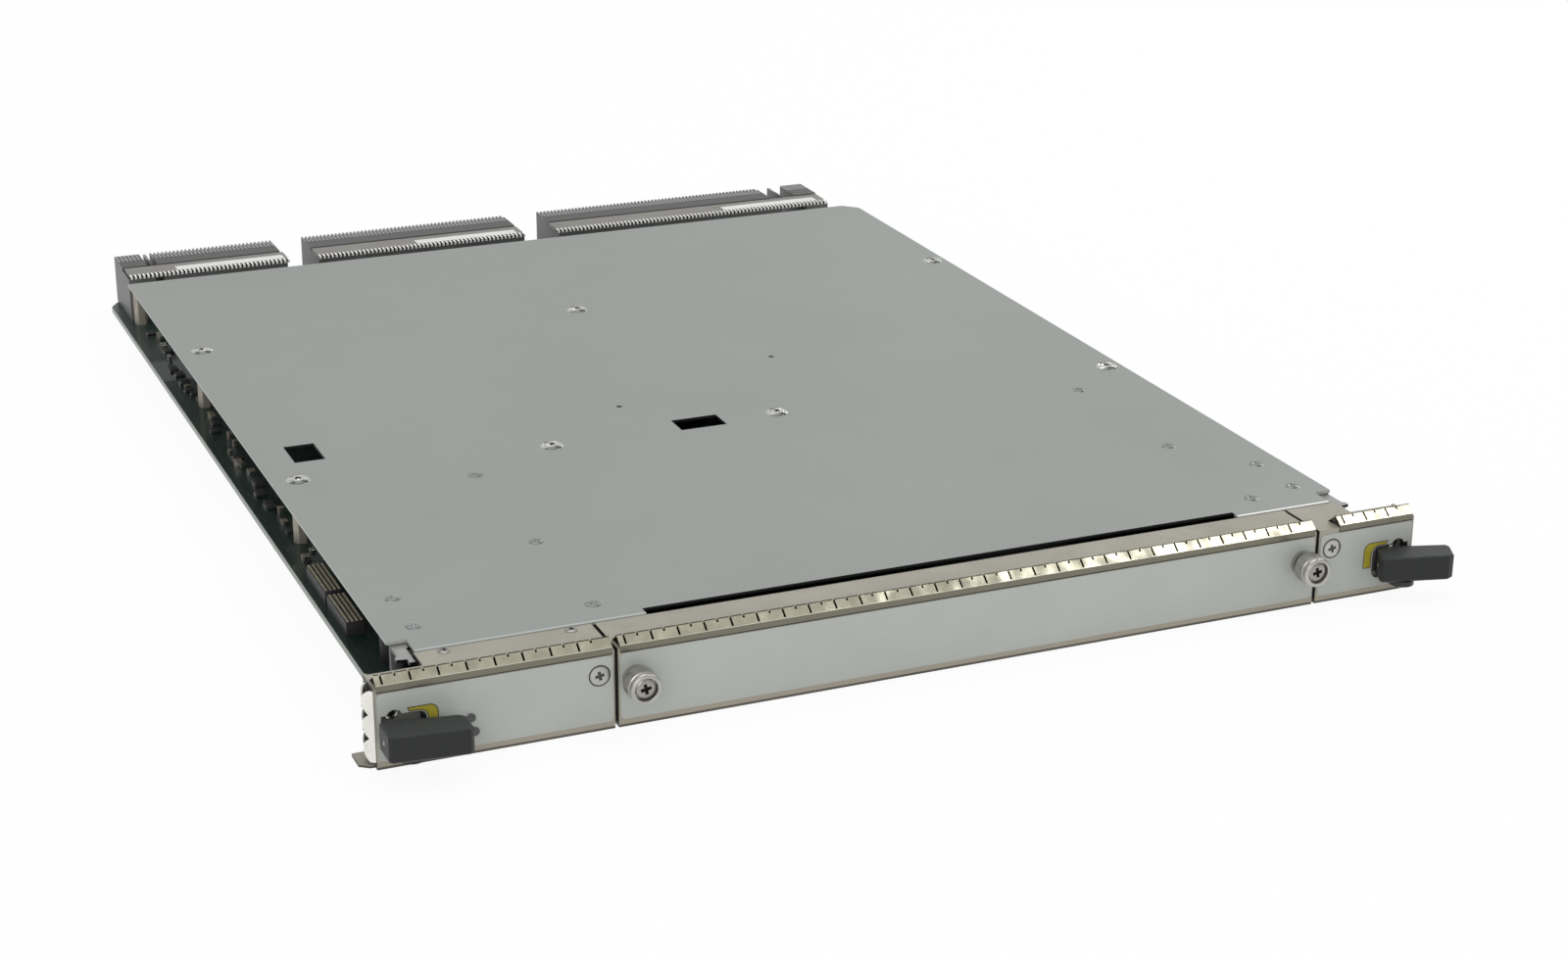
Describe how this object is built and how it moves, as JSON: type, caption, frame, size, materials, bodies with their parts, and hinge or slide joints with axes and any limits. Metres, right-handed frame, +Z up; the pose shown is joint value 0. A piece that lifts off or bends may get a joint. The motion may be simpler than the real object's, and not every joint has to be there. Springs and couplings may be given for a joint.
{
  "type": "switch control board",
  "caption": "Wide flat plug-in circuit board with a sheet-metal lid, a folded front panel with spring gaskets, ejector levers and thumbscrews, and wafer connectors at the back.",
  "frame": {"origin": "middle of the front panel's face, level with the underside of its bottom flange", "axes": "+Y runs from the panel back to the connectors, +X to the right seen from the front, +Z up"},
  "size_m": [0.4366, 0.5782, 0.0343],
  "materials": {
    "laminate": "solder-masked glass laminate, dark green",
    "lid_metal": "satin conversion-coated sheet with a fine grain",
    "plated_sheet": "nickel-plated sheet, satin, slightly warm",
    "spring_metal": "bright plated spring strip",
    "face_film": "smooth light grey film",
    "grip_plastic": "dark grey moulded plastic, fine texture",
    "bright_steel": "bright plated steel",
    "turned_metal": "turned and satin finished",
    "wafer_plastic": "grey moulded plastic",
    "cap_plastic": "taupe moulded plastic",
    "lens": "dark unlit lamp",
    "sink_metal": "black anodised aluminium",
    "chip_plastic": "black moulding compound",
    "can_metal": "bare drawn can"
  },
  "bodies": {
    "board": {"bay_connector": "wafer_plastic", "bay_cover": "plated_sheet", "bay_gasket": "spring_metal", "bay_overlay": "face_film", "bay_rail_left": "plated_sheet", "bay_rail_right": "plated_sheet", "bay_rivets": "lid_metal", "board_screws": "bright_steel", "bracket_rivets": "lid_metal", "bracket_screws": "bright_steel", "capacitors": "can_metal", "centre_connector": "wafer_plastic", "centre_connector_cap": "cap_plastic", "cover_screws": "bright_steel", "cover_standoffs": "bright_steel", "edge_header": "wafer_plastic", "heat_sinks": "sink_metal", "led_lenses": "lens", "left_connector": "wafer_plastic", "left_connector_cap": "cap_plastic", "left_ejector_bracket": "sink_metal", "left_end_gasket": "spring_metal", "left_ferrule": "turned_metal", "left_gasket": "spring_metal", "left_guide_block": "wafer_plastic", "left_overlay": "face_film", "left_panel": "plated_sheet", "main_board": "laminate", "panel_screws": "bright_steel", "power_modules": "chip_plastic", "right_connector": "wafer_plastic", "right_connector_cap": "cap_plastic", "right_ejector_bracket": "sink_metal", "right_end_gasket": "spring_metal", "right_ferrule": "turned_metal", "right_gasket": "spring_metal", "right_guide_block": "wafer_plastic", "right_overlay": "face_film", "right_panel": "plated_sheet", "switch_chips": "chip_plastic", "top_cover": "lid_metal"},
    "left_lever": {"left_lever": "grip_plastic", "left_pivot_pin": "bright_steel"},
    "right_lever": {"right_lever": "grip_plastic", "right_pivot_pin": "bright_steel"},
    "left_washer": {"left_captive_washer": "bright_steel"},
    "right_washer": {"right_captive_washer": "bright_steel"},
    "left_screw": {"left_knob": "turned_metal", "left_thumbscrew": "bright_steel"},
    "right_screw": {"right_knob": "turned_metal", "right_thumbscrew": "bright_steel"}
  },
  "joints": [
    {"name": "left_lever_swing", "type": "hinge", "parent": "board", "child": "left_lever", "pos_m": [-0.2, -0.0088, 0.01435], "axis": [0, 0, -1], "range_deg": [0, 156]},
    {"name": "right_lever_swing", "type": "hinge", "parent": "board", "child": "right_lever", "pos_m": [0.2, -0.0088, 0.01435], "axis": [0, 0, -1], "range_deg": [0, 156]},
    {"name": "left_screw_draw", "type": "slide", "parent": "board", "child": "left_washer", "axis": [0, -1, 0], "range_m": [0, 0.006]},
    {"name": "left_screw_turn", "type": "hinge", "parent": "left_washer", "child": "left_screw", "pos_m": [-0.116, 0, 0.0187], "axis": [0, -1, 0], "range_deg": [0, 3060]},
    {"name": "right_screw_draw", "type": "slide", "parent": "board", "child": "right_washer", "axis": [0, -1, 0], "range_m": [0, 0.006]},
    {"name": "right_screw_turn", "type": "hinge", "parent": "right_washer", "child": "right_screw", "pos_m": [0.159, 0, 0.0187], "axis": [0, -1, 0], "range_deg": [0, 3060]}
  ],
  "couplings": [
    {"joint": "left_screw_draw", "follows": "left_screw_turn", "m_per_rad": 0.00011141},
    {"joint": "right_screw_draw", "follows": "right_screw_turn", "m_per_rad": 0.00011141}
  ]
}
